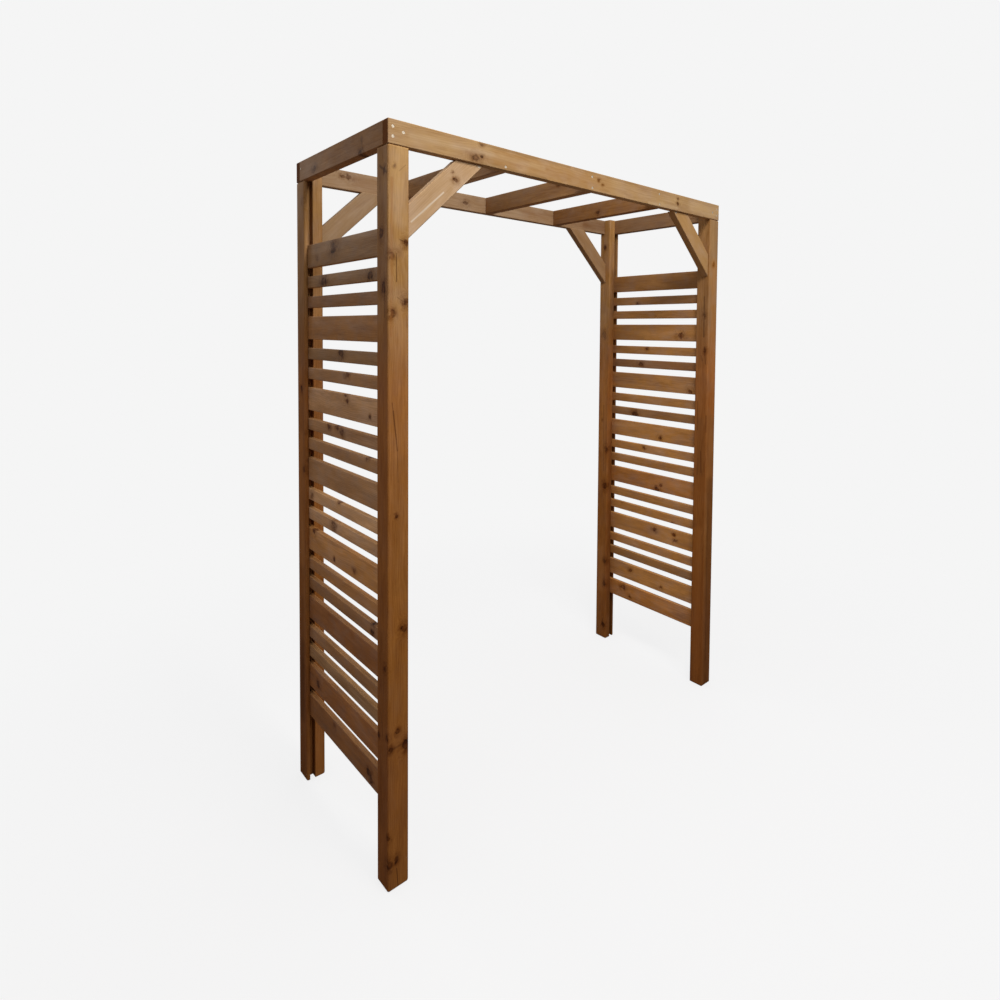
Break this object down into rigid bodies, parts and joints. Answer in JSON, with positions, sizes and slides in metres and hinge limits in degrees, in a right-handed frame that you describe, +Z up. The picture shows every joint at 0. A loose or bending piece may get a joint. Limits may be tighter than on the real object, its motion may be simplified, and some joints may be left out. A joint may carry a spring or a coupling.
{
  "type": "garden arch",
  "caption": "Free-standing flat-topped timber garden arch: slatted trellis sides in grooved posts, an open top frame with crossbars, and diagonal corner braces.",
  "frame": {"origin": "on the ground, at the centre of the rectangle that the four posts stand on", "axes": "+Z up; X across the walkway from the left side panel to the right one, parallel to the long beams; Y along the walkway from front to back"},
  "size_m": [1.6, 0.7, 2.225],
  "materials": {
    "post_wood": "brown stained planed softwood, satin",
    "frame_wood": "brown stained planed softwood, satin",
    "brace_wood": "brown stained planed softwood, satin",
    "slat_wood": "brown stained planed softwood, satin",
    "screw_metal": "zinc-plated steel screw heads, dull bright"
  },
  "bodies": {
    "root": {"post_front_left": "post_wood", "post_front_right": "post_wood", "post_back_left": "post_wood", "post_back_right": "post_wood", "beam_front": "frame_wood", "beam_back": "frame_wood", "end_rail_left": "frame_wood", "end_rail_right": "frame_wood", "crossbar_left": "frame_wood", "crossbar_middle": "frame_wood", "crossbar_right": "frame_wood", "brace_front_left": "brace_wood", "brace_front_right": "brace_wood", "brace_back_left": "brace_wood", "brace_back_right": "brace_wood", "panel_left": "slat_wood", "panel_right": "slat_wood"}
  },
  "joints": []
}
